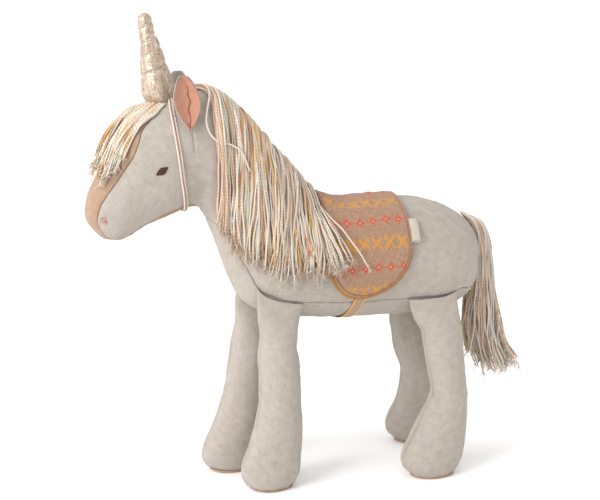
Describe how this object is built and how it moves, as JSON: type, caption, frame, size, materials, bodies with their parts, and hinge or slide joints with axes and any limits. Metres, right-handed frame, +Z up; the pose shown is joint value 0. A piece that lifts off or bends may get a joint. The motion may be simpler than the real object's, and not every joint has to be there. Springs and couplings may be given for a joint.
{
  "type": "plush unicorn",
  "caption": "Standing stuffed-cloth unicorn toy with a padded horn, yarn mane and tail, sewn-on legs that swing, and a draped knitted saddle blanket.",
  "frame": {"origin": "on the floor, below the middle of the animal's box, halfway between its left and right feet", "axes": "the animal faces -Y, its left side is +X, +Z is up"},
  "size_m": [0.1304, 0.4125, 0.426],
  "materials": {
    "linen": "plain woven linen, matt",
    "peach_linen": "plain woven peach linen, matt",
    "pink_cotton": "dusty pink cotton, matt",
    "fibre_stuffing": "loose polyester fibre",
    "gold_cloth": "foil-coated cloth, crackled, metallic",
    "cotton_yarn": "twisted cotton yarn, mixed colours",
    "brown_thread": "satin-stitched thread",
    "pink_thread": "knotted thread",
    "braid": "two cords braided with copper thread",
    "knit": "fine jacquard knit, matt",
    "mustard_lining": "woven cotton, matt",
    "ribbon": "grosgrain ribbon, matt",
    "tag_cloth": "woven label ribbon, blank"
  },
  "bodies": {
    "body": {"body_stuffing": "fibre_stuffing", "side_panel_left": "linen", "side_panel_right": "linen", "under_gusset": "linen", "head_gusset": "peach_linen", "horn_skin": "gold_cloth", "horn_stuffing": "fibre_stuffing", "eye_left": "brown_thread", "eye_right": "brown_thread", "nostril_left": "pink_thread", "nostril_right": "pink_thread", "bridle_braid": "braid", "saddle_blanket_knit": "knit", "saddle_blanket_lining": "mustard_lining", "girth_strap": "ribbon"},
    "leg_front_left": {"leg_outer_front_left": "linen", "leg_inner_front_left": "linen", "leg_stuffing_front_left": "fibre_stuffing", "sole_front_left": "peach_linen"},
    "leg_front_right": {"leg_outer_front_right": "linen", "leg_inner_front_right": "linen", "leg_stuffing_front_right": "fibre_stuffing", "sole_front_right": "peach_linen"},
    "leg_rear_left": {"leg_outer_rear_left": "linen", "leg_inner_rear_left": "linen", "leg_stuffing_rear_left": "fibre_stuffing", "sole_rear_left": "peach_linen"},
    "leg_rear_right": {"leg_outer_rear_right": "linen", "leg_inner_rear_right": "linen", "leg_stuffing_rear_right": "fibre_stuffing", "sole_rear_right": "peach_linen"},
    "ear_left": {"ear_outer_left": "linen", "ear_lining_left": "pink_cotton"},
    "ear_right": {"ear_outer_right": "linen", "ear_lining_right": "pink_cotton"},
    "mane": {"mane_yarn": "cotton_yarn"},
    "forelock": {"forelock_yarn": "cotton_yarn"},
    "tail": {"tail_yarn": "cotton_yarn"},
    "tag": {"woven_tag": "tag_cloth"}
  },
  "joints": [
    {"name": "hip_front_left", "type": "hinge", "parent": "body", "child": "leg_front_left", "pos_m": [0.0336, -0.042, 0.1765], "axis": [-0.1455, -0.9299, 0.338], "range_deg": [-2, 60], "stiffness_Nm_per_rad": 0.5},
    {"name": "hip_front_right", "type": "hinge", "parent": "body", "child": "leg_front_right", "pos_m": [-0.0336, -0.042, 0.1765], "axis": [-0.1455, 0.9299, -0.338], "range_deg": [-2, 60], "stiffness_Nm_per_rad": 0.5},
    {"name": "hip_rear_left", "type": "hinge", "parent": "body", "child": "leg_rear_left", "pos_m": [0.03927, 0.102, 0.16715], "axis": [0.0432, -0.9968, -0.0677], "range_deg": [-4, 60], "stiffness_Nm_per_rad": 0.5},
    {"name": "hip_rear_right", "type": "hinge", "parent": "body", "child": "leg_rear_right", "pos_m": [-0.03927, 0.102, 0.16715], "axis": [0.0432, 0.9968, 0.0677], "range_deg": [-4, 60], "stiffness_Nm_per_rad": 0.5},
    {"name": "ear_bend_left", "type": "hinge", "parent": "body", "child": "ear_left", "pos_m": [0.0319, -0.11797, 0.32933], "axis": [0, 1, 0], "range_deg": [-4, 35], "stiffness_Nm_per_rad": 0.01},
    {"name": "ear_bend_right", "type": "hinge", "parent": "body", "child": "ear_right", "pos_m": [-0.0319, -0.11193, 0.32943], "axis": [0, -1, 0], "range_deg": [-4, 35], "stiffness_Nm_per_rad": 0.01},
    {"name": "mane_lift", "type": "hinge", "parent": "body", "child": "mane", "pos_m": [-0.0046, -0.07272, 0.34166], "axis": [0, -0.7018, 0.7124], "range_deg": [0, 70]},
    {"name": "forelock_lift", "type": "hinge", "parent": "body", "child": "forelock", "pos_m": [0, -0.15942, 0.35273], "axis": [-1, 0, 0], "range_deg": [0, 60]},
    {"name": "tail_swing", "type": "hinge", "parent": "body", "child": "tail", "pos_m": [0, 0.153, 0.236], "axis": [1, 0, 0], "range_deg": [0, 80]},
    {"name": "tag_flap", "type": "hinge", "parent": "body", "child": "tag", "pos_m": [0.04473, 0.07667, 0.23353], "axis": [0.4944, 0, -0.8692], "range_deg": [0, 60], "stiffness_Nm_per_rad": 0.0001}
  ]
}
